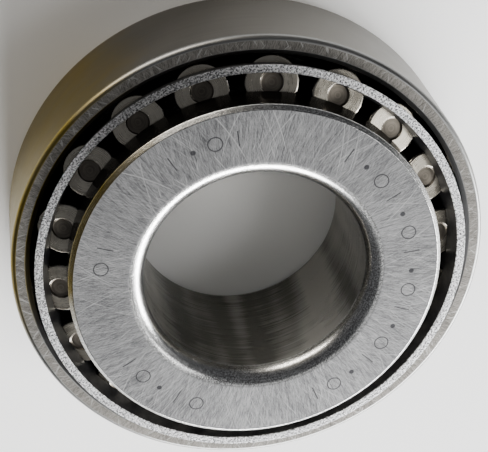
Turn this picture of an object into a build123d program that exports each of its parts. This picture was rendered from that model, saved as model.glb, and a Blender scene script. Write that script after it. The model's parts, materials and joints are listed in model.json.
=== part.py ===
"""Tapered roller bearing: inner ring, outer ring, stamped cage and eighteen rollers.

The bearing stands on the back face of its outer ring.  Z is the bearing's axis, and the wide
back face of the inner ring looks up.  Both raceways and all roller axes run to one apex on Z,
below the bearing, so that the rollers roll without sliding.  Lengths are in millimetres.
"""

from build123d import *
from math import atan, cos, degrees, pi, radians, sin, tan
import os

# Envelope of the bearing
bore_diameter = 41.275
outside_diameter = 88.9
bearing_width = 30.162      # back face of the inner ring to back face of the outer ring
inner_front_inset = 0.792   # front face of the inner ring, above the back face of the outer ring
inner_stand_out = 7.142     # back face of the inner ring, above the front face of the outer ring

# Rollers
roller_count = 18
roller_gap = 2.55           # between neighbours, at the middles of their large ends
roller_corner = 0.5
roller_dimple_radius = 2.1  # shallow recess in the middle of the large end
roller_dimple_depth = 0.35
roller_end_depth = 7.2      # middle of the large end, below the back face of the inner ring

# Outer ring
outer_race_angle = 20.0     # between the raceway and the axis
outer_front_wall = 3.2      # from the outside to the raceway's line, at the front face
outer_front_chamfer = 0.6
outer_back_corner = 3.3
race_mouth_chamfer = 0.6
race_exit_chamfer = 0.8

# Inner ring
guide_rib_height = 3.43     # large rib, which guides the large ends of the rollers
guide_rib_chamfer = 0.76
guide_rib_edge = 0.4
small_rib_height = 1.1
small_rib_width = 4.61
small_rib_chamfer = 0.6
inner_back_corner = 3.3
inner_front_corner = 1.0
relief_width = 1.0          # grinding relief beside each rib
relief_depth = 0.35
inner_least_wall = 2.0      # between the bore and the relief beside the small rib

# Cage, pressed from sheet steel
cage_sheet = 1.55
cage_offset = 2.66          # middle of the sheet, outside the roller axes
cage_rim_rise = 2.84        # edge of the large rim, above the middles of the large ends
cage_bend_radius = 0.9
cage_end_web = 2.3          # from the pockets' small ends to the outside of the flange

# Clearances
running_clearance = 0.10    # between a roller and the raceways and the guide rib
small_rib_clearance = 0.40  # between the small ends and the small rib
pocket_clearance = 0.15     # between a roller and its pocket
flange_clearance = 1.4      # between the cage's flange and the small rib
cage_least_gap = 0.5        # between the cage and the outer raceway

# Faces of the rings
outer_radius = outside_diameter / 2
bore_radius = bore_diameter / 2
outer_back_z = 0.0
outer_front_z = bearing_width - inner_stand_out
inner_back_z = bearing_width
inner_front_z = inner_front_inset

# Rolling geometry.  The outer raceway fixes the apex.  A roller's axis angle and half cone angle
# add up to the raceway's angle, and its diameter is what the pitch at the large ends leaves.
outer_tilt = radians(outer_race_angle)
race_mouth_radius = outer_radius - outer_front_wall
apex_z = outer_front_z - (race_mouth_radius - running_clearance / cos(outer_tilt)) / tan(outer_tilt)
roller_end_z = inner_back_z - roller_end_depth
axis_tilt = outer_tilt
for _ in range(60):
    roller_end_radius = (roller_end_z - apex_z) * tan(axis_tilt)
    roller_radius = pi * roller_end_radius / roller_count - roller_gap / 2
    apex_distance = roller_end_radius / sin(axis_tilt)
    half_cone = atan(roller_radius / apex_distance)
    axis_tilt = outer_tilt - half_cone
inner_tilt = axis_tilt - half_cone
race_exit_radius = race_mouth_radius - outer_front_z * tan(outer_tilt)


def along_roller(distance, offset):
    """Point in the radial half plane, a distance from the apex along the roller axis and off it."""
    radius = distance * sin(axis_tilt) + offset * cos(axis_tilt)
    return (radius, apex_z + distance * cos(axis_tilt) - offset * sin(axis_tilt))


def inner_race_point(distance):
    """Point of the inner raceway beside a point of the roller axis, clear of the roller."""
    return along_roller(distance, -distance * tan(half_cone) - running_clearance / cos(half_cone))


def end_plane_z(distance, radius):
    """Height at which the plane square to the roller axis, at a distance, reaches a radius."""
    centre_radius, centre_z = along_roller(distance, 0)
    return centre_z - (radius - centre_radius) * tan(axis_tilt)


def roller_plane(index):
    """Plane through the bearing's axis whose x runs up the roller axis from the apex."""
    turn = 360 / roller_count * index
    radial = Vector(1, 0, 0).rotate(Axis.Z, turn)
    tangent = Vector(0, 1, 0).rotate(Axis.Z, turn)
    up_roller = radial * sin(axis_tilt) + Vector(0, 0, 1) * cos(axis_tilt)
    return Plane(origin=(0, 0, apex_z), x_dir=up_roller, z_dir=tangent)


# The small rib stands at the front face of the inner ring, and the rollers fill the raceway
# between the two ribs.  The raceway starts no lower than the least wall over the bore allows.
thin_radius = bore_radius + inner_least_wall + relief_depth
thin_z = apex_z + (thin_radius + running_clearance / cos(inner_tilt)) / tan(inner_tilt)
rib_root_z = max(inner_front_z + small_rib_width, thin_z)
rib_root_radius = (rib_root_z - apex_z) * tan(inner_tilt) - running_clearance / cos(inner_tilt)
small_face = rib_root_radius * sin(axis_tilt) + (rib_root_z - apex_z) * cos(axis_tilt)
small_rib_radius = rib_root_radius + small_rib_height
guide_face = apex_distance + running_clearance
guide_root = inner_race_point(guide_face)
guide_rib_radius = guide_root[0] + guide_rib_height
roller_low = small_face + small_rib_clearance
roller_small_radius = roller_low * tan(half_cone)

# Outer ring: a plain cylinder outside and the raceway inside
with BuildPart() as outer_ring:
    with BuildSketch(Plane.XZ) as outer_ring_section:
        with BuildLine():
            Polyline(
                (race_exit_radius, outer_back_z),
                (outer_radius, outer_back_z),
                (outer_radius, outer_front_z),
                (race_mouth_radius, outer_front_z),
                close=True,
            )
        make_face()
        back_corners = outer_ring_section.vertices().group_by(Axis.Y)[0].sort_by(Axis.X)
        front_corners = outer_ring_section.vertices().group_by(Axis.Y)[-1].sort_by(Axis.X)
        fillet(back_corners[-1], outer_back_corner)
        chamfer(back_corners[0], race_exit_chamfer)
        chamfer(front_corners[-1], outer_front_chamfer)
        chamfer(front_corners[0], race_mouth_chamfer)
    revolve(axis=Axis.Z)
outer_ring.part.label = "outer_ring"

# Inner ring: guide rib at the top, raceway, small rib at the bottom, a relief beside each rib
relief_low = inner_race_point(small_face + relief_width)
relief_high = inner_race_point(guide_face - relief_width)
with BuildPart() as inner_ring:
    with BuildSketch(Plane.XZ) as inner_ring_section:
        with BuildLine():
            Polyline(
                (bore_radius, inner_front_z),
                (small_rib_radius, inner_front_z),
                (small_rib_radius, end_plane_z(small_face, small_rib_radius)),
                (rib_root_radius, rib_root_z),
                (rib_root_radius - relief_depth, rib_root_z + relief_width / 4),
                relief_low,
                relief_high,
                (guide_root[0] - relief_depth, guide_root[1] - relief_width / 4),
                guide_root,
                (guide_rib_radius, end_plane_z(guide_face, guide_rib_radius)),
                (guide_rib_radius, inner_back_z),
                (bore_radius, inner_back_z),
                close=True,
            )
        make_face()
        front_corners = inner_ring_section.vertices().group_by(Axis.Y)[0].sort_by(Axis.X)
        back_corners = inner_ring_section.vertices().group_by(Axis.Y)[-1].sort_by(Axis.X)
        rib_corners = inner_ring_section.vertices().group_by(Axis.X)[-1].sort_by(Axis.Y)
        fillet(back_corners[0], inner_back_corner)
        fillet(front_corners[0], inner_front_corner)
        chamfer(front_corners[-1], small_rib_chamfer)
        chamfer(back_corners[-1], guide_rib_chamfer)
        fillet(rib_corners[0], guide_rib_edge)
    revolve(axis=Axis.Z)
inner_ring.part.label = "inner_ring"

# Cage: a cone of sheet parallel to the roller axes, turned inward at its small end
pocket_low = roller_low - pocket_clearance
pocket_high = apex_distance + pocket_clearance
cage_top_z = roller_end_z + cage_rim_rise
# The sheet lies at its offset, or closer to the axes where the rollers are too slim for that.
raceway_offset = pocket_low * tan(half_cone) + running_clearance
cage_line = min(cage_offset, raceway_offset - cage_least_gap - cage_sheet / 2)
cage_low_z = along_roller(pocket_low, cage_line)[1] - cage_end_web
flange_top_z = cage_low_z + cage_sheet
flange_radius = small_rib_radius + flange_clearance
inner_offset = cage_line - cage_sheet / 2
outer_offset = cage_line + cage_sheet / 2


def cage_wall_radius(z, offset):
    """Radius at a height of a face of the cage wall, which runs beside the roller axes."""
    return (z - apex_z) * tan(axis_tilt) + offset / cos(axis_tilt)


with BuildPart() as cage:
    with BuildSketch(Plane.XZ) as cage_section:
        with BuildLine():
            Polyline(
                (cage_wall_radius(cage_top_z, inner_offset), cage_top_z),
                (cage_wall_radius(cage_top_z, outer_offset), cage_top_z),
                (cage_wall_radius(cage_low_z, outer_offset), cage_low_z),
                (flange_radius, cage_low_z),
                (flange_radius, flange_top_z),
                (cage_wall_radius(flange_top_z, inner_offset), flange_top_z),
                close=True,
            )
        make_face()
        outer_bend = cage_section.vertices().group_by(Axis.Y)[0].sort_by(Axis.X)[-1]
        inner_bend = cage_section.vertices().group_by(Axis.Y)[1].sort_by(Axis.X)[-1]
        fillet(outer_bend, cage_bend_radius + cage_sheet)
        fillet(inner_bend, cage_bend_radius)
    revolve(axis=Axis.Z)
    for index in range(roller_count):
        pocket_plane = roller_plane(index)
        with BuildSketch(pocket_plane):
            with BuildLine():
                Polyline(
                    (pocket_low, 0),
                    (pocket_high, 0),
                    (pocket_high, pocket_high * tan(half_cone) + pocket_clearance),
                    (pocket_low, pocket_low * tan(half_cone) + pocket_clearance),
                    close=True,
                )
            make_face()
        revolve(axis=Axis(pocket_plane.origin, pocket_plane.x_dir), mode=Mode.SUBTRACT)
cage.part.label = "cage"

os.makedirs("parts", exist_ok=True)
export_step(outer_ring.part, "parts/outer_ring.step")
export_step(inner_ring.part, "parts/inner_ring.step")
export_step(cage.part, "parts/cage.step")

# Rollers: each one turned about its own axis, with a shallow dimple in its large end
dimple_floor = apex_distance - roller_dimple_depth
dimple_floor_radius = roller_dimple_radius - roller_dimple_depth
for index in range(roller_count):
    plane = roller_plane(index)
    with BuildPart() as roller:
        with BuildSketch(plane) as roller_section:
            with BuildLine():
                Polyline(
                    (roller_low, 0),
                    (dimple_floor, 0),
                    (dimple_floor, dimple_floor_radius),
                    (apex_distance, roller_dimple_radius),
                    (apex_distance, roller_radius),
                    (roller_low, roller_small_radius),
                    close=True,
                )
            make_face()
            rims = roller_section.vertices().sort_by(lambda corner: plane.to_local_coords(corner).Y)
            fillet(rims[-2:], roller_corner)
        revolve(axis=Axis(plane.origin, plane.x_dir))
    roller.part.label = f"roller_{index + 1:02d}"
    export_step(roller.part, f"parts/{roller.part.label}.step")

# Speeds for one turn of the inner ring with the outer ring held
cage_turns = sin(inner_tilt) / (sin(inner_tilt) + sin(outer_tilt))
roller_turns = -cage_turns * sin(outer_tilt) / sin(half_cone)
print("rollers: diameter", round(2 * roller_radius, 3), "length", round(apex_distance - roller_low, 3),
      "large end radius", round(roller_end_radius, 3), "apex z", round(apex_z, 4))
print("angles: roller axis", round(degrees(axis_tilt), 4), "half cone", round(degrees(half_cone), 4),
      "inner raceway", round(degrees(inner_tilt), 4), "guide rib", round(guide_rib_radius, 3))
print("turns: cage", round(cage_turns, 6), "roller in its pocket", round(roller_turns, 6))
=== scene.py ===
"""Tapered roller bearing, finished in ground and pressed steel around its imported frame.

Every piece is turned, pressed or pierced as its maker would do it, at the size that the frame
gives, and rides on its own body.  Lengths inside the classes are in metres.
"""
import logging
import math
from dataclasses import dataclass
from enum import Enum
from typing import Callable, ClassVar, Sequence

import bpy
from mathutils import Matrix, Vector
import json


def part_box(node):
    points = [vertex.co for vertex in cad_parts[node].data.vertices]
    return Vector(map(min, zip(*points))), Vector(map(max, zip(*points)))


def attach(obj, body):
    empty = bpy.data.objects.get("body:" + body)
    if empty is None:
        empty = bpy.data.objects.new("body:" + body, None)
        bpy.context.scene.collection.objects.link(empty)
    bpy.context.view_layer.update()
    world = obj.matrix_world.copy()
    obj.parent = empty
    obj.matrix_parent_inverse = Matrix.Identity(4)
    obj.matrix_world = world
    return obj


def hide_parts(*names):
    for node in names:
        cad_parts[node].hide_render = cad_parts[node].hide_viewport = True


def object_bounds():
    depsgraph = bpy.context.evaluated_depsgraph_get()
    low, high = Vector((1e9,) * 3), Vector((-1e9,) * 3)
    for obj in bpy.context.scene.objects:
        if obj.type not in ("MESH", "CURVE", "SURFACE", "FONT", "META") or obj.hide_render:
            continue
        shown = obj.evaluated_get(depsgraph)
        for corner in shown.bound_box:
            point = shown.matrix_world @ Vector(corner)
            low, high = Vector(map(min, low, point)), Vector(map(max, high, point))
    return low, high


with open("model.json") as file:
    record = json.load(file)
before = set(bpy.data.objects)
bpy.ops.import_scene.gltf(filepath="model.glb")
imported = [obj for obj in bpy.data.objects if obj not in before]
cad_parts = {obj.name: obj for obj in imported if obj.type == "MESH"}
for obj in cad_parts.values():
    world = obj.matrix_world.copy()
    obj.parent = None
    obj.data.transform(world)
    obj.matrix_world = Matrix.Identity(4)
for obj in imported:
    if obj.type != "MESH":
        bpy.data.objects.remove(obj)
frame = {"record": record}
CAD_LOW, CAD_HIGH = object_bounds()

MM = 0.001
SETTLING_ROUNDS = 60
STRAIGHT = 0.995
log = logging.getLogger("bearing")

Colour = tuple[float, float, float]


class Surface(Enum):
    """How a stretch of a piece's surface was finished."""

    FACE = "ground face"
    OUTER_FACE = "ground outer face"
    CYLINDER = "ground cylinder"
    RIB = "turned rib"
    BORE = "ground bore"
    RACEWAY = "lapped raceway"
    CORNER = "turned corner"
    OUTER_CORNER = "turned outer corner"
    SHEET = "pressed sheet"
    SHEARED = "sheared edge"
    ROLLER_BODY = "ground roller"
    ROLLER_END = "ground roller end"
    DIMPLE = "forged dimple"


# ---------------------------------------------------------------------------------------------
# Sizes
# ---------------------------------------------------------------------------------------------
@dataclass(frozen=True)
class BearingSizes:
    """Driving sizes of the bearing, with the rolling geometry that follows from them.

    The envelope comes from the frame.  The other sizes repeat those of the CAD model.
    """

    outer_radius: float
    bore_radius: float
    width: float
    inner_front: float
    outer_front: float
    roller_count: int = 18
    roller_gap: float = 2.55 * MM
    roller_end_depth: float = 7.2 * MM
    race_angle: float = math.radians(20.0)
    front_wall: float = 3.2 * MM
    running: float = 0.10 * MM
    small_rib_clearance: float = 0.40 * MM
    small_rib_width: float = 4.61 * MM
    small_rib_height: float = 1.1 * MM
    guide_rib_height: float = 3.43 * MM
    pocket_clearance: float = 0.15 * MM

    @classmethod
    def from_frame(cls) -> "BearingSizes":
        """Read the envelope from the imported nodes.

        Returns:
            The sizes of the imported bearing.
        """
        inner_low, inner_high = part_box("inner_ring")
        outer_low, outer_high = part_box("outer_ring")
        bore = next(mount for mount in frame["record"]["mounts"] if mount["name"] == "shaft_bore")
        return cls(
            outer_radius=(outer_high[0] - outer_low[0]) / 2,
            bore_radius=bore["dims"]["r_mm"] * MM,
            width=inner_high[2],
            inner_front=inner_low[2],
            outer_front=outer_high[2],
        )

    @property
    def mouth_radius(self) -> float:
        """Radius of the outer raceway at the outer ring's front face."""
        return self.outer_radius - self.front_wall

    @property
    def apex(self) -> float:
        """Height of the common apex of the raceways and the roller axes."""
        run = self.mouth_radius - self.running / math.cos(self.race_angle)
        return self.outer_front - run / math.tan(self.race_angle)

    def rolling_angles(self) -> tuple[float, float]:
        """Work out how the rollers lie between the raceways.

        Returns:
            The tilt of a roller's axis and its half cone angle, in radians.
        """
        tilt, half_cone = self.race_angle, 0.0
        for _ in range(SETTLING_ROUNDS):
            end_radius = (self.width - self.roller_end_depth - self.apex) * math.tan(tilt)
            roller = math.pi * end_radius / self.roller_count - self.roller_gap / 2
            half_cone = math.atan(roller * math.sin(tilt) / end_radius)
            tilt = self.race_angle - half_cone
        return tilt, half_cone

    @property
    def tilt(self) -> float:
        """Angle between a roller's axis and the bearing's axis."""
        return self.rolling_angles()[0]

    @property
    def half_cone(self) -> float:
        """Half cone angle of a roller."""
        return self.rolling_angles()[1]

    @property
    def large_end(self) -> float:
        """Distance from the apex to the rollers' large ends, along their axes."""
        return (self.width - self.roller_end_depth - self.apex) / math.cos(self.tilt)

    @property
    def rib_root(self) -> tuple[float, float]:
        """Corner between the inner raceway and the small rib.

        Returns:
            Radius and height of the corner.
        """
        height = self.inner_front + self.small_rib_width
        inner = self.tilt - self.half_cone
        return (height - self.apex) * math.tan(inner) - self.running / math.cos(inner), height

    @property
    def small_face(self) -> float:
        """Distance from the apex to the small rib's face, along a roller's axis."""
        radius, height = self.rib_root
        return radius * math.sin(self.tilt) + (height - self.apex) * math.cos(self.tilt)

    @property
    def small_end(self) -> float:
        """Distance from the apex to the rollers' small ends, along their axes."""
        return self.small_face + self.small_rib_clearance

    def beside_roller(self, distance: float, offset: float) -> tuple[float, float]:
        """Place a point by its distance along a roller's axis and its distance off that axis.

        Args:
            distance: Distance from the apex along the roller's axis.
            offset: Distance off the axis, outward from the bearing's axis.

        Returns:
            Radius and height of the point.
        """
        tilt = self.tilt
        radius = distance * math.sin(tilt) + offset * math.cos(tilt)
        return radius, self.apex + distance * math.cos(tilt) - offset * math.sin(tilt)

    def inner_race(self, distance: float) -> tuple[float, float]:
        """Point of the inner raceway beside a point of a roller's axis.

        Args:
            distance: Distance from the apex along the roller's axis.

        Returns:
            Radius and height of the point, clear of the roller.
        """
        half = self.half_cone
        return self.beside_roller(distance, -distance * math.tan(half) - self.running / math.cos(half))

    def end_plane(self, distance: float, radius: float) -> float:
        """Height at which a plane square to a roller's axis reaches a radius.

        Args:
            distance: Distance of the plane from the apex along the roller's axis.
            radius: Radius from the bearing's axis.

        Returns:
            Height of the plane at that radius.
        """
        centre_radius, centre_height = self.beside_roller(distance, 0.0)
        return centre_height - (radius - centre_radius) * math.tan(self.tilt)

    @property
    def roller_place(self) -> Matrix:
        """Move from a roller's own axis, with the apex at zero, to the first roller's place."""
        return Matrix.Translation((0.0, 0.0, self.apex)) @ Matrix.Rotation(self.tilt, 4, "Y")

    def turn_of(self, index: int) -> float:
        """Angle of a roller round the bearing's axis, in radians."""
        return math.tau / self.roller_count * index


# ---------------------------------------------------------------------------------------------
# Material nodes
# ---------------------------------------------------------------------------------------------
class Value:
    """A number that varies over a surface: a node socket with arithmetic."""

    def __init__(self, canvas: "Canvas", socket: bpy.types.NodeSocket) -> None:
        """Wrap a socket of a canvas."""
        self.canvas = canvas
        self.socket = socket

    def math(self, operation: str, *others: "Value | float", clamp: bool = False) -> "Value":
        """Put this value through a Math node.

        Args:
            operation: The Math node's operation.
            others: Its other operands.
            clamp: Whether the result is held between 0 and 1.

        Returns:
            The node's result.
        """
        inputs = dict(enumerate((self, *others)))
        node = self.canvas.node("ShaderNodeMath", {"operation": operation, "use_clamp": clamp}, inputs)
        return Value(self.canvas, node.outputs[0])

    def __add__(self, other: "Value | float") -> "Value":
        """Sum."""
        return self.math("ADD", other)

    __radd__ = __add__

    def __mul__(self, other: "Value | float") -> "Value":
        """Product."""
        return self.math("MULTIPLY", other)

    __rmul__ = __mul__

    def __sub__(self, other: "Value | float") -> "Value":
        """Difference."""
        return self.math("SUBTRACT", other)

    def __rsub__(self, other: float) -> "Value":
        """Difference from a number."""
        return -self + other

    def __truediv__(self, other: "Value | float") -> "Value":
        """Quotient."""
        return self.math("DIVIDE", other)

    def __abs__(self) -> "Value":
        """Size without sign."""
        return self.math("ABSOLUTE")

    def __neg__(self) -> "Value":
        """Opposite."""
        return self * -1.0

    def held(self) -> "Value":
        """Value held between 0 and 1."""
        return self.math("ADD", 0.0, clamp=True)

    def above(self, edge: float, soft: float) -> "Value":
        """Fade from 0 to 1 as this value passes an edge.

        Args:
            edge: Where the fade is half done.
            soft: Width of the fade.

        Returns:
            A mask between 0 and 1.
        """
        return ((self - edge) / soft + 0.5).held()

    def below(self, edge: float, soft: float) -> "Value":
        """Fade from 1 to 0 as this value passes an edge.

        Args:
            edge: Where the fade is half done.
            soft: Width of the fade.

        Returns:
            A mask between 0 and 1.
        """
        return (-self).above(-edge, soft)


class Canvas:
    """The node tree of one material, with a Principled shader at its end."""

    def __init__(self, name: str) -> None:
        """Start an empty material.

        Args:
            name: The material's name.
        """
        self.material = bpy.data.materials.new(name)
        self.material.use_nodes = True
        self.tree = self.material.node_tree
        self.tree.nodes.clear()
        self.places: dict[str | None, tuple[Value, Value, Value]] = {}
        self.shader = self.node("ShaderNodeBsdfPrincipled")
        self.node("ShaderNodeOutputMaterial", inputs={"Surface": self.shader.outputs[0]})

    def node(
        self, kind: str, settings: dict[str, object] | None = None, inputs: dict | None = None
    ) -> bpy.types.Node:
        """Add a node.

        Args:
            kind: The node's type.
            settings: Its own settings, set first; "stops" are the places and colours of a ramp.
            inputs: Values or links of its sockets, by name or number.

        Returns:
            The node.
        """
        node = self.tree.nodes.new(kind)
        for key, setting in (settings or {}).items():
            if key == "stops":
                self._set_stops(node.color_ramp, setting)
            else:
                setattr(node, key, setting)
        for key, given in (inputs or {}).items():
            socket = given.socket if isinstance(given, Value) else given
            if isinstance(socket, bpy.types.NodeSocket):
                self.tree.links.new(socket, node.inputs[key])
            else:
                node.inputs[key].default_value = socket
        return node

    @staticmethod
    def _set_stops(ramp: bpy.types.ColorRamp, stops: Sequence[tuple[float, Sequence[float]]]) -> None:
        """Give a colour ramp its stops.

        Args:
            ramp: The ramp.
            stops: Place and colour of each stop.
        """
        while len(ramp.elements) < len(stops):
            ramp.elements.new(1.0)
        for element, (place, colour) in zip(ramp.elements, stops):
            element.position = place
            element.color = (*colour, 1.0)

    def place(self, attribute: str | None = None) -> tuple[Value, Value, Value]:
        """Coordinates of the surface in metres.

        Args:
            attribute: Name of a vector attribute of the mesh, or None for Object coordinates.

        Returns:
            The three coordinates.
        """
        if attribute not in self.places:
            if attribute is None:
                source = self.node("ShaderNodeTexCoord").outputs["Object"]
            else:
                settings = {"attribute_name": attribute}
                source = self.node("ShaderNodeAttribute", settings).outputs["Vector"]
            split = self.node("ShaderNodeSeparateXYZ", inputs={0: source})
            self.places[attribute] = tuple(Value(self, split.outputs[axis]) for axis in range(3))
        return self.places[attribute]

    def noise(self, x: Value, y: Value, z: Value, detail: float) -> Value:
        """Fractal noise that swings about zero, by one half at most.

        Args:
            x: First coordinate, in grains.
            y: Second coordinate, in grains.
            z: Third coordinate, in grains.
            detail: Octaves of finer grain.

        Returns:
            The noise.
        """
        joined = self.node("ShaderNodeCombineXYZ", inputs={0: x, 1: y, 2: z})
        noise = self.node(
            "ShaderNodeTexNoise",
            {"noise_dimensions": "3D"},
            {"Vector": joined.outputs[0], "Scale": 1.0, "Detail": detail, "Roughness": 0.6},
        )
        return Value(self, noise.outputs[0]) - 0.5

    def blend(self, mask: Value, low: Colour, high: Colour) -> bpy.types.NodeSocket:
        """Colour between two colours.

        Args:
            mask: 0 for the first colour and 1 for the second.
            low: First colour.
            high: Second colour.

        Returns:
            The colour's socket.
        """
        ramp = self.node("ShaderNodeValToRGB", {"stops": ((0.0, low), (1.0, high))}, {"Fac": mask})
        return ramp.outputs["Color"]

    def mix(self, mask: Value, low: bpy.types.NodeSocket, high: Colour) -> bpy.types.NodeSocket:
        """Lay a plain colour over a colour.

        Args:
            mask: Where the plain colour shows.
            low: The colour below.
            high: The plain colour.

        Returns:
            The colour's socket.
        """
        node = self.node("ShaderNodeMix", {"data_type": "RGBA"}, {0: mask, 6: low, 7: (*high, 1.0)})
        return node.outputs[2]

    def bump(self, height: Value, depth: float) -> None:
        """Press a height pattern into the surface.

        Args:
            height: The pattern.
            depth: Depth of the pattern in metres.
        """
        node = self.node("ShaderNodeBump", inputs={"Strength": 1.0, "Distance": depth, "Height": height})
        self.tree.links.new(node.outputs["Normal"], self.shader.inputs["Normal"])

    def feed(self, colour: bpy.types.NodeSocket, roughness: Value) -> None:
        """Make the surface bare metal.

        Args:
            colour: Its colour.
            roughness: Its roughness.
        """
        self.shader.inputs["Metallic"].default_value = 1.0
        self.tree.links.new(colour, self.shader.inputs["Base Color"])
        self.tree.links.new(roughness.socket, self.shader.inputs["Roughness"])


# ---------------------------------------------------------------------------------------------
# Finishes
# ---------------------------------------------------------------------------------------------
@dataclass(frozen=True)
class Layer:
    """A layer of noise in a finish, with its share in the tone, the roughness and the relief.

    Its grain is given in grains per metre along X, Y and Z.  A layer that is turned with a roller
    follows the roller's own axis, and its third coordinate runs up the side and in over the end.
    """

    grains: tuple[float, float, float]
    detail: float
    tone: float = 0.0
    roughness: float = 0.0
    relief: float = 0.0
    with_roller: bool = False

    @classmethod
    def even(cls, grains: float, detail: float, **shares: float) -> "Layer":
        """Layer with the same grain in every direction."""
        return cls((grains, grains, grains), detail, **shares)

    def paint(self, canvas: Canvas) -> Value:
        """Noise of the layer.

        Args:
            canvas: The material's canvas.

        Returns:
            Noise about zero.
        """
        x, y, z = canvas.place(RollerSet.home_attribute if self.with_roller else None)
        if self.with_roller:
            z = (x * x + y * y).math("SQRT") + z
        across, along, up = self.grains
        return canvas.noise(x * across, y * along, z * up, self.detail)


@dataclass(frozen=True)
class OilFilm:
    """Painted reflection: a yellow tint laid on one side of a ring, with a ragged, patchy edge."""

    start: float
    fade: float
    # Direction round the axis of the side that gets the painted reflection.
    side: float = math.radians(134.0)
    strength: float = 0.86
    # Colour of the painted reflection.
    tint: Colour = (0.185, 0.135, 0.018)
    ragged: ClassVar[Layer] = Layer((60.0, 60.0, 96.0), 5.0)
    ragged_reach: ClassVar[float] = 13.0 * MM
    patches: ClassVar[Layer] = Layer((170.0, 170.0, 425.0), 4.0)
    patch_contrast: ClassVar[float] = 0.7
    patch_middle: ClassVar[float] = 0.97

    def cover(self, canvas: Canvas, colour: bpy.types.NodeSocket) -> bpy.types.NodeSocket:
        """Lay the painted reflection over a colour.

        Args:
            canvas: The material's canvas.
            colour: The colour below.

        Returns:
            The tinted colour.
        """
        x, y, _ = canvas.place()
        toward = x * math.cos(self.side) + y * math.sin(self.side)
        reach = toward + self.ragged.paint(canvas) * self.ragged_reach
        inside = reach.above(self.start + self.fade / 2, self.fade)
        patchy = self.patches.paint(canvas) * self.patch_contrast + self.patch_middle
        mask = (inside * patchy * self.strength).held()
        return canvas.mix(mask, colour, self.tint)


@dataclass(frozen=True)
class MarkRow:
    """A row of small etched signs round a ring face: dashes, rings and dots, in that order."""

    middle: float
    count: int
    circle: float
    pitch: float = math.radians(8.2)
    stroke: float = 0.11 * MM
    soft: float = 0.06 * MM
    dash_reach: float = 1.5 * MM
    ring_radius: float = 1.3 * MM
    dot_radius: float = 0.48 * MM
    sharp: ClassVar[float] = 0.01
    crisp: ClassVar[float] = 0.001

    def paint(self, canvas: Canvas) -> Value:
        """Mask of the row's signs.

        Args:
            canvas: The material's canvas.

        Returns:
            1 on the strokes and 0 elsewhere.
        """
        x, y, _ = canvas.place()
        offset = y.math("ARCTAN2", x) - self.middle
        wrapped = offset - (offset / math.tau).math("ROUND") * math.tau
        centre = (self.count - 1) / 2
        cell = wrapped / self.pitch + centre
        nearest = cell.math("ROUND")
        along = (cell - nearest) * (self.pitch * self.circle)
        across = (x * x + y * y).math("SQRT") - self.circle
        length = (along * along + across * across).math("SQRT")
        dash = abs(along).below(self.stroke, self.soft) * abs(across).below(self.dash_reach, self.soft)
        ring = abs(length - self.ring_radius).below(self.stroke, self.soft)
        dot = length.below(self.dot_radius, self.soft)
        kinds = (dash, ring, dot)
        kind = nearest - (nearest / len(kinds)).math("FLOOR") * len(kinds)
        signs = sum(sign * abs(kind - place).below(0.5, self.sharp) for place, sign in enumerate(kinds))
        return abs(cell - centre).below(self.count / 2, self.crisp) * signs


@dataclass(frozen=True)
class Finish:
    """Bare steel between two colours, with layers of noise over it.

    The depth is that of the relief, in metres.
    """

    low: Colour
    high: Colour
    roughness: float
    depth: float
    middle: ClassVar[float] = 0.5

    def layers(self) -> tuple[Layer, ...]:
        """Layers of the finish."""
        raise NotImplementedError

    def cover(self, canvas: Canvas, colour: bpy.types.NodeSocket) -> bpy.types.NodeSocket:
        """Colour with whatever lies on the steel, which is nothing here."""
        return colour

    def make(self, name: str) -> bpy.types.Material:
        """Build the material.

        Args:
            name: The material's name.

        Returns:
            The material.
        """
        canvas = Canvas(name)
        tone, rough, relief = self.middle, self.roughness, 0.0
        for layer in self.layers():
            noise = layer.paint(canvas)
            if layer.tone:
                tone = noise * layer.tone + tone
            if layer.roughness:
                rough = noise * layer.roughness + rough
            if layer.relief:
                relief = noise * layer.relief + relief
        canvas.feed(self.cover(canvas, canvas.blend(tone.held(), self.low, self.high)), rough)
        canvas.bump(relief, self.depth)
        return canvas.material


@dataclass(frozen=True)
class GroundCylinder(Finish):
    """Cylinder or cone ground between centres: fine lines run round it, with a few dark specks."""

    depth: float = 0.002 * MM
    line_pitch: float = 0.22 * MM
    # Painted yellow reflection on one side of the ring, if any.
    film: OilFilm | None = None
    bands: float = 0.0
    grit: float = 0.0
    speck_grain: ClassVar[float] = 2600.0
    speck_edge: ClassVar[float] = 0.22
    speck_soft: ClassVar[float] = 0.06
    speck_cover: ClassVar[float] = 0.25
    speck_colour: ClassVar[Colour] = (0.12, 0.11, 0.1)

    def layers(self) -> tuple[Layer, ...]:
        """Layers of the finish: lines and clouds, then bands along the axis, or grit.

        Returns:
            The layers.
        """
        lines = 0.3 if self.grit else 1.0
        across = 1.0 / self.line_pitch
        made = [
            Layer((60.0, 60.0, across), 3.0, tone=1.6, roughness=0.12, relief=lines),
            Layer.even(70.0, 3.0, tone=1.0, roughness=0.18),
        ]
        if self.bands:
            made.append(Layer((130.0, 130.0, 13.0), 1.0, tone=self.bands))
        if self.grit:
            made.append(Layer.even(3600.0, 2.0, tone=self.grit, relief=0.7))
        return tuple(made)

    def cover(self, canvas: Canvas, colour: bpy.types.NodeSocket) -> bpy.types.NodeSocket:
        """Lay the specks and the painted yellow reflection over a colour.

        Args:
            canvas: The material's canvas.
            colour: The colour below.

        Returns:
            The covered colour.
        """
        specks = Layer.even(self.speck_grain, 1.0).paint(canvas).above(self.speck_edge, self.speck_soft)
        colour = canvas.mix(specks * self.speck_cover, colour, self.speck_colour)
        return self.film.cover(canvas, colour) if self.film else colour


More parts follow.
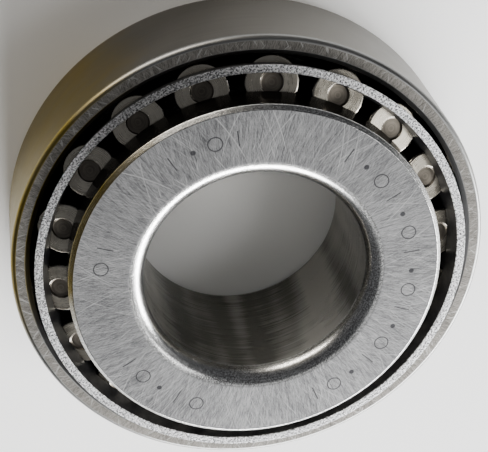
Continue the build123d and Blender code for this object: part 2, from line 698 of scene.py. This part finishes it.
@dataclass(frozen=True)
class ShearedEdge(Finish):
    """Edge of cut sheet: coarse bright crystals of torn steel."""

    low: Colour = (0.025, 0.025, 0.026)
    high: Colour = (0.40, 0.40, 0.40)
    roughness: float = 0.42
    depth: float = 0.15 * MM
    grain: float = 0.34 * MM
    middle: ClassVar[float] = 0.48

    def layers(self) -> tuple[Layer, ...]:
        """Layers of the finish: crystals, and finer ones between them."""
        coarse = Layer.even(1.0 / self.grain, 2.0, tone=4.6, relief=0.6)
        return coarse, Layer.even(2.6 / self.grain, 2.0, tone=2.6, roughness=0.5, relief=0.4)


@dataclass(frozen=True)
class PressedSheet(Finish):
    """Pressed sheet steel, matt and lightly mottled; its near-black colour is painted shade."""

    # Near-black colours: painted shade of the pockets and bars.
    low: Colour = (0.035, 0.036, 0.040)
    high: Colour = (0.09, 0.09, 0.092)
    roughness: float = 0.46
    depth: float = 0.02 * MM

    def layers(self) -> tuple[Layer, ...]:
        """Layers of the finish: mottle and fine grain."""
        mottle = Layer.even(420.0, 4.0, tone=1.8, roughness=0.3, relief=0.4)
        return mottle, Layer.even(3200.0, 2.0, tone=0.8, relief=0.6)


@dataclass(frozen=True)
class RollerFinish(Finish):
    """A surface of a roller, with lines that run round its own axis."""

    line_pitch: float

    def layers(self) -> tuple[Layer, ...]:
        """Layers of the finish: lines and clouds."""
        lines = Layer((150.0, 150.0, 1.0 / self.line_pitch), 2.0, 1.5, 0.1, 1.0, with_roller=True)
        return lines, Layer.even(260.0, 3.0, tone=1.6, roughness=0.2)


@dataclass(frozen=True)
class Streak:
    """Noise drawn out along lines that lean off the radius of a face."""

    lean: float
    pitch: float
    breaks: float
    detail: float
    middle_radius: ClassVar[float] = 30.0 * MM

    def paint(self, canvas: Canvas) -> Value:
        """Noise of the streaks.

        Args:
            canvas: The material's canvas.

        Returns:
            Noise about zero.
        """
        x, y, _ = canvas.place()
        radius = (x * x + y * y).math("SQRT")
        east, north = x / radius, y / radius
        skew = (radius - self.middle_radius) * self.lean
        count = self.middle_radius / self.pitch
        across_x = (east - north * skew) * count
        across_y = (north + east * skew) * count
        return canvas.noise(across_x, across_y, radius * self.breaks, self.detail)


@dataclass(frozen=True)
class GroundFace:
    """Flat face ground by a cup wheel: crossing streaks that run nearly along the radius.

    The streaks and the speckle each have a share in the grain, and a scratch shows where its noise
    rises above an edge.
    """

    low: Colour
    high: Colour
    roughness: float
    marks: tuple[MarkRow, ...] = ()
    streaks: ClassVar[tuple[tuple[Streak, float], ...]] = (
        (Streak(5.0, 0.14 * MM, 420.0, 2.0), 0.42),
        (Streak(-11.0, 0.14 * MM / 1.2, 620.0, 2.0), 0.28),
        (Streak(2.5, 0.98 * MM, 30.0, 1.0), 0.10),
    )
    scratches: ClassVar[tuple[tuple[Streak, float], ...]] = (
        (Streak(-15.0, 0.14 * MM / 0.6, 34.0, 0.0), 0.245),
        (Streak(20.0, 0.14 * MM / 0.6, 34.0, 0.0), 0.255),
    )
    speckle: ClassVar[Layer] = Layer.even(1.0 / (0.17 * MM), 1.0)
    speckle_share: ClassVar[float] = 0.2
    cloud: ClassVar[Layer] = Layer.even(90.0, 3.0)
    cloud_contrast: ClassVar[float] = 0.5
    contrast: ClassVar[float] = 4.6
    polish: ClassVar[float] = 0.30
    depth: ClassVar[float] = 0.006 * MM
    scratch_soft: ClassVar[float] = 0.02
    scratch_cover: ClassVar[float] = 0.3
    scratch_colour: ClassVar[Colour] = (0.50, 0.50, 0.49)
    etch_cover: ClassVar[float] = 0.9
    etch_roughness: ClassVar[float] = 0.2
    etch_colour: ClassVar[Colour] = (0.012, 0.012, 0.014)

    def make(self, name: str) -> bpy.types.Material:
        """Build the material.

        Args:
            name: The material's name.

        Returns:
            The material.
        """
        canvas = Canvas(name)
        grain = self.speckle.paint(canvas) * self.speckle_share
        for streak, share in self.streaks:
            grain = grain + streak.paint(canvas) * share
        cloud = self.cloud.paint(canvas) * self.cloud_contrast
        tone = grain * self.contrast + cloud + Finish.middle
        colour = canvas.blend(tone.held(), self.low, self.high)
        scratched = self.strongest(
            [streak.paint(canvas).above(edge, self.scratch_soft) for streak, edge in self.scratches]
        )
        colour = canvas.mix(scratched * self.scratch_cover, colour, self.scratch_colour)
        rough = self.roughness - grain * self.polish
        if self.marks:
            etched = self.strongest([row.paint(canvas) for row in self.marks]) * self.etch_cover
            colour = canvas.mix(etched, colour, self.etch_colour)
            rough = rough + etched * self.etch_roughness
        canvas.feed(colour, rough)
        canvas.bump(grain, self.depth)
        return canvas.material

    @staticmethod
    def strongest(masks: Sequence[Value]) -> Value:
        """Join masks into one.

        Args:
            masks: The masks.

        Returns:
            The strongest of the masks at each place.
        """
        joined = masks[0]
        for mask in masks[1:]:
            joined = joined.math("MAXIMUM", mask)
        return joined


# ---------------------------------------------------------------------------------------------
# Bench: modelling moves that several pieces share
# ---------------------------------------------------------------------------------------------
@dataclass(frozen=True)
class Corner:
    """A corner of a turned section, with the width of its rounding."""

    radius: float
    height: float
    rounding: float = 0.0
    segments: int = 2

    @property
    def point(self) -> Vector:
        """Place of the corner in the half plane through +X."""
        return Vector((self.radius, 0.0, self.height))


class Bench:
    """Modelling moves, each one an operator or a short run of operators."""

    weld = 0.002 * MM
    smooth_angle = math.radians(32.0)
    flat_weight = 80

    @staticmethod
    def clear() -> None:
        """Leave edit mode and select nothing."""
        if bpy.context.object and bpy.context.object.mode != "OBJECT":
            bpy.ops.object.mode_set(mode="OBJECT")
        bpy.ops.object.select_all(action="DESELECT")

    @staticmethod
    def pick(piece: bpy.types.Object) -> None:
        """Select one object and make it active.

        Args:
            piece: The object.
        """
        Bench.clear()
        piece.select_set(True)
        bpy.context.view_layer.objects.active = piece

    @staticmethod
    def trace(name: str, corners: Sequence[Corner]) -> bpy.types.Object:
        """Trace a closed section with straight runs and round its corners.

        Args:
            name: Name of the new object.
            corners: Corners of the section, in order.

        Returns:
            A mesh with the section's edges alone.
        """
        Bench.clear()
        bpy.ops.mesh.primitive_plane_add(size=MM, location=corners[0].point)
        piece = bpy.context.object
        piece.name = piece.data.name = name
        bpy.ops.object.transform_apply(location=True, rotation=True, scale=True)
        bpy.ops.object.mode_set(mode="EDIT")
        bpy.ops.mesh.select_all(action="SELECT")
        bpy.ops.mesh.merge(type="CENTER")
        for before, after in zip(corners, corners[1:]):
            bpy.ops.mesh.extrude_region_move(
                TRANSFORM_OT_translate={"value": after.point - before.point}
            )
        bpy.ops.mesh.select_all(action="SELECT")
        bpy.ops.mesh.edge_face_add()
        for corner in corners:
            if corner.rounding > 0.0:
                Bench.round_corner(piece, corner)
        bpy.ops.mesh.select_all(action="SELECT")
        bpy.ops.mesh.delete(type="ONLY_FACE")
        bpy.ops.object.mode_set(mode="OBJECT")
        return piece

    @staticmethod
    def round_corner(piece: bpy.types.Object, corner: Corner) -> None:
        """Round one corner of a section that is open in edit mode.

        Args:
            piece: The section.
            corner: The corner, with its rounding.
        """
        bpy.ops.mesh.select_all(action="DESELECT")
        bpy.ops.object.mode_set(mode="OBJECT")
        nearest = min(piece.data.vertices, key=lambda vertex: (vertex.co - corner.point).length)
        nearest.select = True
        bpy.ops.object.mode_set(mode="EDIT")
        bpy.ops.mesh.select_mode(type="VERT")
        bpy.ops.mesh.bevel(
            offset=corner.rounding, segments=corner.segments, affect="VERTICES", profile=0.5
        )

    @staticmethod
    def spin(piece: bpy.types.Object, steps: int) -> None:
        """Turn a section into a closed body round Z.

        Args:
            piece: The section.
            steps: Number of steps in the full turn.
        """
        Bench.pick(piece)
        bpy.ops.object.mode_set(mode="EDIT")
        bpy.ops.mesh.select_all(action="SELECT")
        bpy.ops.mesh.spin(steps=steps, angle=math.tau, center=(0.0, 0.0, 0.0), axis=(0.0, 0.0, 1.0))
        bpy.ops.mesh.select_all(action="SELECT")
        bpy.ops.mesh.remove_doubles(threshold=Bench.weld)
        bpy.ops.mesh.delete_loose(use_verts=True, use_edges=True, use_faces=False)
        bpy.ops.mesh.select_all(action="SELECT")
        bpy.ops.mesh.normals_make_consistent(inside=False)
        bpy.ops.object.mode_set(mode="OBJECT")

    @staticmethod
    def shade(piece: bpy.types.Object) -> None:
        """Shade a body smoothly, with its flats kept flat.

        Args:
            piece: The body.
        """
        Bench.pick(piece)
        bpy.ops.object.shade_smooth_by_angle(angle=Bench.smooth_angle)
        weighted = piece.modifiers.new("weighted", "WEIGHTED_NORMAL")
        weighted.keep_sharp = True
        weighted.weight = Bench.flat_weight
        bpy.ops.object.modifier_apply(modifier=weighted.name)

    @staticmethod
    def duplicate(piece: bpy.types.Object, turn: float) -> bpy.types.Object:
        """Copy an object with a mesh of its own, and turn the copy about Z.

        Args:
            piece: The object.
            turn: Angle of the turn, in radians.

        Returns:
            The copy.
        """
        copy = piece.copy()
        copy.data = piece.data.copy()
        copy.data.transform(Matrix.Rotation(turn, 4, "Z"))
        bpy.context.collection.objects.link(copy)
        return copy

    @staticmethod
    def outward(middle: Vector, normal: Vector) -> float:
        """How far a face looks away from the bearing's axis, from -1 to 1."""
        return (normal.x * middle.x + normal.y * middle.y) / math.hypot(middle.x, middle.y)

    @staticmethod
    def dress(
        piece: bpy.types.Object,
        finishes: dict[Surface, bpy.types.Material],
        surface_of: Callable[[Vector, Vector], Surface],
    ) -> None:
        """Give every face of a piece the finish of its surface.

        Args:
            piece: The piece.
            finishes: Material of each surface.
            surface_of: Surface at a face, from its middle and its normal.
        """
        order = list(finishes)
        piece.data.materials.clear()
        for surface in order:
            piece.data.materials.append(finishes[surface])
        for face in piece.data.polygons:
            face.material_index = order.index(surface_of(face.center, face.normal))

    @staticmethod
    def mount(piece: bpy.types.Object, body: str, node: str, slot: str) -> None:
        """Let a piece stand for a CAD node and ride on its body.

        Args:
            piece: The piece.
            body: Body that carries it.
            node: CAD node that it replaces.
            slot: Material slot of the record; not used.
        """
        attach(piece, body)
        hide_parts(node)
        log.info("%s: %d faces, rides on %s", piece.name, len(piece.data.polygons), body)


# ---------------------------------------------------------------------------------------------
# Rings
# ---------------------------------------------------------------------------------------------
@dataclass
class OuterRing:
    """Outer ring, with a plain cylinder outside and the raceway inside.

    The polish taken off its cylinder keeps the ring just inside the CAD model.
    """

    sizes: BearingSizes
    finishes: dict[Surface, bpy.types.Material]
    steps: int = 304
    front_chamfer: float = 0.6 * MM
    back_corner: float = 3.3 * MM
    mouth_chamfer: float = 0.6 * MM
    exit_chamfer: float = 0.8 * MM
    broken_edge: float = 0.12 * MM
    polish: float = 0.001 * MM
    race_tolerance: float = 0.01

    def section(self) -> list[Corner]:
        """Corners of the turned section.

        Returns:
            The corners, from the raceway's lower edge outward.
        """
        s, edge = self.sizes, self.broken_edge
        exit_radius = s.mouth_radius - s.outer_front * math.tan(s.race_angle)
        slope = math.tan(s.race_angle)
        outside = s.outer_radius - self.polish
        return [
            Corner(exit_radius + self.exit_chamfer * slope, self.exit_chamfer, edge),
            Corner(exit_radius + self.exit_chamfer, 0.0, edge),
            Corner(outside, 0.0, self.back_corner, 12),
            Corner(outside, s.outer_front - self.front_chamfer, edge * 2.5, 4),
            Corner(outside - self.front_chamfer, s.outer_front, edge * 2.5, 4),
            Corner(s.mouth_radius + self.mouth_chamfer, s.outer_front, edge),
            Corner(
                s.mouth_radius - self.mouth_chamfer * slope, s.outer_front - self.mouth_chamfer, edge
            ),
        ]

    def surface_of(self, middle: Vector, normal: Vector) -> Surface:
        """Surface at a face of the ring.

        Args:
            middle: Middle of the face.
            normal: Its normal.

        Returns:
            The surface.
        """
        outward = Bench.outward(middle, normal)
        if abs(normal.z) > STRAIGHT:
            return Surface.OUTER_FACE
        if outward > STRAIGHT:
            return Surface.CYLINDER
        if abs(outward + math.cos(self.sizes.race_angle)) < self.race_tolerance:
            return Surface.RACEWAY
        return Surface.OUTER_CORNER

    def build(self) -> bpy.types.Object:
        """Make the ring and put it on its body.

        Returns:
            The finished piece.
        """
        piece = Bench.trace("outer_ring_ground", self.section())
        Bench.spin(piece, self.steps)
        Bench.dress(piece, self.finishes, self.surface_of)
        Bench.shade(piece)
        Bench.mount(piece, "outer_ring", "outer_ring", "ring_steel")
        return piece


@dataclass
class InnerRing:
    """Inner ring, with its bore, its two ribs and the raceway between them."""

    sizes: BearingSizes
    finishes: dict[Surface, bpy.types.Material]
    steps: int = 304
    back_corner: float = 3.3 * MM
    front_corner: float = 1.0 * MM
    guide_chamfer: float = 0.76 * MM
    guide_edge: float = 0.4 * MM
    small_chamfer: float = 0.6 * MM
    relief_width: float = 1.0 * MM
    relief_depth: float = 0.35 * MM
    broken_edge: float = 0.10 * MM
    race_outward: float = 0.9

    def section(self) -> list[Corner]:
        """Corners of the turned section.

        Returns:
            The corners, from the bore's lower edge outward.
        """
        s, edge = self.sizes, self.broken_edge
        root_radius, root_height = s.rib_root
        small_rib = root_radius + s.small_rib_height
        guide_face = s.large_end + s.running
        guide_root = s.inner_race(guide_face)
        guide_rib = guide_root[0] + s.guide_rib_height
        step = self.relief_width / 4
        return [
            Corner(s.bore_radius, s.inner_front, self.front_corner, 6),
            Corner(small_rib - self.small_chamfer, s.inner_front, edge),
            Corner(small_rib, s.inner_front + self.small_chamfer, edge),
            Corner(small_rib, s.end_plane(s.small_face, small_rib), edge),
            Corner(root_radius, root_height, edge / 2),
            Corner(root_radius - self.relief_depth, root_height + step, edge),
            Corner(*s.inner_race(s.small_face + self.relief_width), edge),
            Corner(*s.inner_race(guide_face - self.relief_width), edge),
            Corner(guide_root[0] - self.relief_depth, guide_root[1] - step, edge),
            Corner(*guide_root, edge / 2),
            Corner(guide_rib, s.end_plane(guide_face, guide_rib), self.guide_edge, 4),
            Corner(guide_rib, s.width - self.guide_chamfer, edge, 3),
            Corner(guide_rib - self.guide_chamfer, s.width, edge, 3),
            Corner(s.bore_radius, s.width, self.back_corner, 14),
        ]

    def surface_of(self, middle: Vector, normal: Vector) -> Surface:
        """Surface at a face of the ring.

        Args:
            middle: Middle of the face.
            normal: Its normal.

        Returns:
            The surface.
        """
        outward = Bench.outward(middle, normal)
        if abs(normal.z) > STRAIGHT:
            return Surface.FACE
        if outward < -STRAIGHT:
            return Surface.BORE
        low, high = self.sizes.rib_root[1], self.sizes.width - self.sizes.guide_rib_height
        if outward > self.race_outward and low < middle.z < high:
            return Surface.RACEWAY
        if outward > STRAIGHT:
            return Surface.RIB
        return Surface.CORNER

    def build(self) -> bpy.types.Object:
        """Make the ring and put it on its body.

        Returns:
            The finished piece.
        """
        piece = Bench.trace("inner_ring_ground", self.section())
        Bench.spin(piece, self.steps)
        Bench.dress(piece, self.finishes, self.surface_of)
        Bench.shade(piece)
        Bench.mount(piece, "inner_ring", "inner_ring", "ring_steel")
        return piece


# ---------------------------------------------------------------------------------------------
# Cage
# ---------------------------------------------------------------------------------------------
@dataclass
class Cage:
    """Cage of pressed sheet: a cone with a pocket for each roller and an inward flange."""

    sizes: BearingSizes
    finishes: dict[Surface, bpy.types.Material]
    steps_per_pitch: int = 16
    sheet: float = 1.55 * MM
    offset: float = 2.66 * MM
    rim_rise: float = 2.84 * MM
    bend_radius: float = 0.9 * MM
    end_web: float = 2.3 * MM
    flange_clearance: float = 1.4 * MM
    rolled_edge: float = 0.16 * MM
    pocket_sides: int = 96
    sheared_share: float = 0.7
    sheared_slope: float = 0.3

    @property
    def rim_height(self) -> float:
        """Height of the sheared edge of the large rim."""
        return self.sizes.width - self.sizes.roller_end_depth + self.rim_rise

    def wall(self, height: float, offset: float) -> float:
        """Radius of a face of the wall.

        Args:
            height: Height above the origin.
            offset: Distance of the face from the roller axes.

        Returns:
            The radius.
        """
        tilt = self.sizes.tilt
        return (height - self.sizes.apex) * math.tan(tilt) + offset / math.cos(tilt)

    def section(self) -> list[Corner]:
        """Corners of the pressed section.

        Returns:
            The corners, from the rim's inner edge outward.
        """
        s = self.sizes
        inner, outer = self.offset - self.sheet / 2, self.offset + self.sheet / 2
        top = self.rim_height
        low = s.beside_roller(s.small_end - s.pocket_clearance, self.offset)[1] - self.end_web
        flange_top = low + self.sheet
        flange = s.rib_root[0] + s.small_rib_height + self.flange_clearance
        edge = self.rolled_edge
        return [
            Corner(self.wall(top, inner), top, edge),
            Corner(self.wall(top, outer), top, edge),
            Corner(self.wall(low, outer), low, self.bend_radius + self.sheet, 10),
            Corner(flange, low, edge),
            Corner(flange, flange_top, edge),
            Corner(self.wall(flange_top, inner), flange_top, self.bend_radius, 6),
        ]

    def punch(self) -> bpy.types.Object:
        """Make the punch for all pockets: one slim cone on each roller's axis.

        Returns:
            The punch, one mesh.
        """
        s = self.sizes
        low, high = s.small_end - s.pocket_clearance, s.large_end + s.pocket_clearance
        slope = math.tan(s.half_cone)
        Bench.clear()
        bpy.ops.mesh.primitive_cone_add(
            vertices=self.pocket_sides,
            radius1=low * slope + s.pocket_clearance,
            radius2=high * slope + s.pocket_clearance,
            depth=high - low,
            location=(0.0, 0.0, (low + high) / 2),
        )
        punch = bpy.context.object
        bpy.ops.object.transform_apply(location=True, rotation=True, scale=True)
        punch.data.transform(s.roller_place)
        copies = [Bench.duplicate(punch, s.turn_of(index)) for index in range(1, s.roller_count)]
        Bench.pick(punch)
        for copy in copies:
            copy.select_set(True)
        bpy.ops.object.join()
        return punch

    def surface_of(self, middle: Vector, normal: Vector) -> Surface:
        """Surface at a face of the cage.

        Args:
            middle: Middle of the face.
            normal: Its normal.

        Returns:
            The surface.
        """
        at_rim = middle.z > self.rim_height - self.rolled_edge * self.sheared_share
        if at_rim and normal.z > self.sheared_slope:
            return Surface.SHEARED
        return Surface.SHEET

    def build(self) -> bpy.types.Object:
        """Make the cage and put it on its body.

        Returns:
            The finished piece.
        """
        piece = Bench.trace("cage_pressed", self.section())
        Bench.spin(piece, self.steps_per_pitch * self.sizes.roller_count)
        punch = self.punch()
        Bench.pick(piece)
        pierce = piece.modifiers.new("pierce", "BOOLEAN")
        pierce.operation = "DIFFERENCE"
        pierce.solver = "EXACT"
        pierce.object = punch
        bpy.ops.object.modifier_apply(modifier=pierce.name)
        bpy.data.objects.remove(punch)
        Bench.dress(piece, self.finishes, self.surface_of)
        Bench.shade(piece)
        Bench.mount(piece, "cage", "cage", "cage_steel")
        return piece


# ---------------------------------------------------------------------------------------------
# Rollers
# ---------------------------------------------------------------------------------------------
@dataclass
class RollerSet:
    """The rollers, turned once and copied round the bearing."""

    sizes: BearingSizes
    finishes: dict[Surface, bpy.types.Material]
    steps: int = 96
    corner: float = 0.5 * MM
    dimple_radius: float = 2.1 * MM
    dimple_depth: float = 0.35 * MM
    dimple_wall: float = 0.22 * MM
    broken_edge: float = 0.08 * MM
    end_slope: float = 0.9
    home_attribute: ClassVar[str] = "roller_home"

    def section(self) -> list[Corner]:
        """Corners of the roller's section, on its own axis with the apex at zero.

        Returns:
            The corners, from the middle of the small end to that of the large end.
        """
        s = self.sizes
        slope = math.tan(s.half_cone)
        floor = s.large_end - self.dimple_depth
        return [
            Corner(0.0, s.small_end),
            Corner(s.small_end * slope, s.small_end, self.corner, 5),
            Corner(s.large_end * slope, s.large_end, self.corner, 6),
            Corner(self.dimple_radius, s.large_end, self.broken_edge, 3),
            Corner(self.dimple_radius - self.dimple_wall, floor, self.broken_edge * 1.5, 3),
            Corner(0.0, floor),
        ]

    def surface_of(self, middle: Vector, normal: Vector) -> Surface:
        """Surface at a face of the roller that stands on its own axis.

        Args:
            middle: Middle of the face.
            normal: Its normal.

        Returns:
            The surface.
        """
        s = self.sizes
        radius = math.hypot(middle.x, middle.y)
        upper_half = middle.z > (s.small_end + s.large_end) / 2
        if upper_half and radius < self.dimple_radius - self.broken_edge / 2:
            return Surface.DIMPLE
        if abs(normal.z) > self.end_slope:
            return Surface.ROLLER_END
        return Surface.ROLLER_BODY

    def model(self) -> bpy.types.Object:
        """Turn one roller on its own axis.

        Returns:
            The roller, upright over the apex.
        """
        piece = Bench.trace("roller_ground_01", self.section())
        Bench.spin(piece, self.steps)
        Bench.dress(piece, self.finishes, self.surface_of)
        Bench.shade(piece)
        home = piece.data.attributes.new(self.home_attribute, "FLOAT_VECTOR", "POINT")
        places = [0.0] * (3 * len(piece.data.vertices))
        piece.data.vertices.foreach_get("co", places)
        home.data.foreach_set("vector", places)
        return piece

    def build(self) -> list[bpy.types.Object]:
        """Make all rollers and put each on its body.

        Returns:
            The finished pieces.
        """
        s = self.sizes
        first = self.model()
        first.data.transform(s.roller_place)
        pieces = [first]
        for index in range(1, s.roller_count):
            copy = Bench.duplicate(first, s.turn_of(index))
            copy.name = copy.data.name = f"roller_ground_{index + 1:02d}"
            pieces.append(copy)
        for index, piece in enumerate(pieces):
            node = f"roller_{index + 1:02d}"
            Bench.mount(piece, node, node, "roller_steel")
        return pieces


# ---------------------------------------------------------------------------------------------
# Studio
# ---------------------------------------------------------------------------------------------
def direction(azimuth: float, elevation: float) -> Vector:
    """Direction from the bearing toward a light or the camera.

    Args:
        azimuth: Angle round Z from -Y, in degrees.
        elevation: Angle above the floor, in degrees.

    Returns:
        The direction, of length one.
    """
    turn, rise = math.radians(azimuth), math.radians(elevation)
    return Vector((math.sin(turn) * math.cos(rise), -math.cos(turn) * math.cos(rise), math.sin(rise)))


@dataclass(frozen=True)
class Softbox:
    """A large soft light that looks at the bearing.

    Its angles are in degrees, its distance and size in metres and its power in watts.
    """

    name: str
    azimuth: float
    elevation: float
    distance: float
    width: float
    height: float
    power: float
    colour: Colour = (1.0, 1.0, 1.0)

    def hang(self, target: Vector) -> bpy.types.Object:
        """Put the light up.

        Args:
            target: The point that it looks at.

        Returns:
            The light.
        """
        away = direction(self.azimuth, self.elevation)
        light = bpy.data.lights.new(self.name, "AREA")
        light.shape = "RECTANGLE"
        light.size, light.size_y = self.width, self.height
        light.energy = self.power
        light.color = self.colour
        holder = bpy.data.objects.new(self.name, light)
        holder.location = target + away * self.distance
        holder.rotation_mode = "QUATERNION"
        holder.rotation_quaternion = (-away).to_track_quat("-Z", "Y")
        bpy.context.collection.objects.link(holder)
        return holder


@dataclass
class Studio:
    """Pale floor, soft lights and the camera.

    The camera's angles are in degrees.  It looks at a point of the inner ring's upper face.
    """

    sizes: BearingSizes
    floor_size: float = 3.0
    azimuth: float = 171.590
    elevation: float = 60.064
    roll: float = 161.664
    distance: float = 249.43 * MM
    aim: tuple[float, float] = (2.311 * MM, 11.423 * MM)
    focal_length: float = 103.29
    sensor_width: float = 36.0
    near_and_far: tuple[float, float] = (0.01, 20.0)
    paper: Colour = (0.93, 0.93, 0.92)
    paper_roughness: float = 0.8
    sky: Colour = (0.92, 0.94, 1.0)
    sky_strength: float = 0.12
    softboxes: ClassVar[tuple[Softbox, ...]] = (
        Softbox("key_softbox", -4.0, 24.0, 1.2, 1.1, 0.4, 60.0),
        Softbox("right_softbox", 36.0, 14.0, 1.3, 0.8, 0.4, 44.0),
        Softbox("face_softbox", -14.0, 62.0, 1.4, 1.0, 0.8, 1.3),
        Softbox("back_softbox", 184.0, 10.0, 1.8, 1.4, 0.3, 30.0, (1.0, 0.93, 0.82)),
        Softbox("corner_softbox", 52.0, 56.0, 1.4, 0.4, 0.4, 3.0),
    )

    def lay_floor(self) -> None:
        """Lay the pale floor that the bearing stands on."""
        Bench.clear()
        bpy.ops.mesh.primitive_plane_add(size=self.floor_size, location=(0.0, 0.0, CAD_LOW.z))
        floor = bpy.context.object
        floor.name = "floor"
        canvas = Canvas("floor_paper")
        canvas.shader.inputs["Base Color"].default_value = (*self.paper, 1.0)
        canvas.shader.inputs["Roughness"].default_value = self.paper_roughness
        floor.data.materials.append(canvas.material)

    def light(self) -> None:
        """Hang the lights and set the ambient light."""
        target = Vector((0.0, 0.0, self.sizes.width / 2))
        for box in self.softboxes:
            box.hang(target)
        world = bpy.data.worlds.new("studio")
        world.use_nodes = True
        background = world.node_tree.nodes["Background"]
        background.inputs["Color"].default_value = (*self.sky, 1.0)
        background.inputs["Strength"].default_value = self.sky_strength
        bpy.context.scene.world = world

    def place_camera(self) -> None:
        """Set up the camera, rolled as the picture is taken."""
        away = direction(self.azimuth, self.elevation)
        data = bpy.data.cameras.new("camera")
        data.sensor_fit = "HORIZONTAL"
        data.sensor_width = self.sensor_width
        data.lens = self.focal_length
        data.clip_start, data.clip_end = self.near_and_far
        camera = bpy.data.objects.new("camera", data)
        camera.location = Vector((*self.aim, self.sizes.width)) + away * self.distance
        camera.rotation_mode = "QUATERNION"
        level = (-away).to_track_quat("-Z", "Y").to_matrix().to_4x4()
        rolled = level @ Matrix.Rotation(math.radians(self.roll), 4, "Z")
        camera.rotation_quaternion = rolled.to_quaternion()
        bpy.context.collection.objects.link(camera)
        bpy.context.scene.camera = camera

    def build(self) -> None:
        """Set up the whole studio."""
        self.lay_floor()
        self.light()
        self.place_camera()


def make_finishes(sizes: BearingSizes) -> dict[Surface, bpy.types.Material]:
    """Make the materials of all surfaces.

    Args:
        sizes: Sizes of the bearing.

    Returns:
        Material of each surface.
    """
    inset = 3.75 * MM
    circle = (sizes.bore_radius + sizes.outer_radius) / 2 - inset
    rows = ((85.0, 4), (-30.0, 16), (142.0, 2), (-155.0, 5))
    marks = tuple(MarkRow(math.radians(degrees), count, circle) for degrees, count in rows)
    # Painted yellow reflections on one side of the rings, one with a wider fade than the other.
    wide_film = OilFilm(31.0 * MM, 10.0 * MM)
    edge_film = OilFilm(26.0 * MM, 6.0 * MM)
    made = {
        Surface.FACE: GroundFace((0.042, 0.042, 0.044), (0.225, 0.225, 0.225), 0.42, marks),
        Surface.OUTER_FACE: GroundFace((0.062, 0.058, 0.052), (0.205, 0.195, 0.178), 0.42),
        # Dark brown tone: partly painted reflection of a brown surface beside the bearing, over the
        # ground steel's own colour.
        Surface.CYLINDER: GroundCylinder(
            (0.090, 0.083, 0.070), (0.142, 0.134, 0.118), 0.38, film=wide_film
        ),
        Surface.RIB: GroundCylinder(
            (0.06, 0.06, 0.058), (0.11, 0.11, 0.105), 0.50, film=edge_film
        ),
        Surface.BORE: GroundCylinder(
            (0.15, 0.145, 0.13), (0.48, 0.465, 0.43), 0.28, line_pitch=0.4 * MM, bands=4.4
        ),
        Surface.RACEWAY: GroundCylinder((0.10, 0.097, 0.09), (0.18, 0.17, 0.16), 0.22),
        Surface.CORNER: GroundCylinder(
            (0.22, 0.22, 0.215), (0.62, 0.62, 0.61), 0.24, 0.02 * MM, 0.12 * MM, edge_film, grit=4.0
        ),
        Surface.OUTER_CORNER: GroundCylinder(
            (0.13, 0.13, 0.125), (0.24, 0.24, 0.235), 0.34, line_pitch=0.12 * MM, film=wide_film
        ),
        Surface.SHEET: PressedSheet(),
        Surface.SHEARED: ShearedEdge(),
        Surface.ROLLER_BODY: RollerFinish(
            (0.20, 0.188, 0.165), (0.34, 0.322, 0.285), 0.20, 0.001 * MM, 0.2 * MM
        ),
        Surface.ROLLER_END: RollerFinish(
            (0.40, 0.365, 0.295), (0.72, 0.67, 0.565), 0.27, 0.004 * MM, 0.16 * MM
        ),
        Surface.DIMPLE: RollerFinish(
            (0.10, 0.088, 0.072), (0.22, 0.196, 0.162), 0.36, 0.01 * MM, 0.3 * MM
        ),
    }
    return {surface: finish.make(surface.value.replace(" ", "_")) for surface, finish in made.items()}


def main() -> None:
    """Build the bearing and its studio."""
    logging.basicConfig(level=logging.INFO, format="%(name)s: %(message)s")
    sizes = BearingSizes.from_frame()
    finishes = make_finishes(sizes)

    def of(*surfaces: Surface) -> dict[Surface, bpy.types.Material]:
        """Materials of some surfaces."""
        return {surface: finishes[surface] for surface in surfaces}

    OuterRing(
        sizes, of(Surface.CYLINDER, Surface.OUTER_FACE, Surface.RACEWAY, Surface.OUTER_CORNER)
    ).build()
    InnerRing(
        sizes, of(Surface.RIB, Surface.FACE, Surface.BORE, Surface.RACEWAY, Surface.CORNER)
    ).build()
    Cage(sizes, of(Surface.SHEET, Surface.SHEARED)).build()
    RollerSet(sizes, of(Surface.ROLLER_BODY, Surface.ROLLER_END, Surface.DIMPLE)).build()
    Studio(sizes).build()


if __name__ == "__main__":
    main()
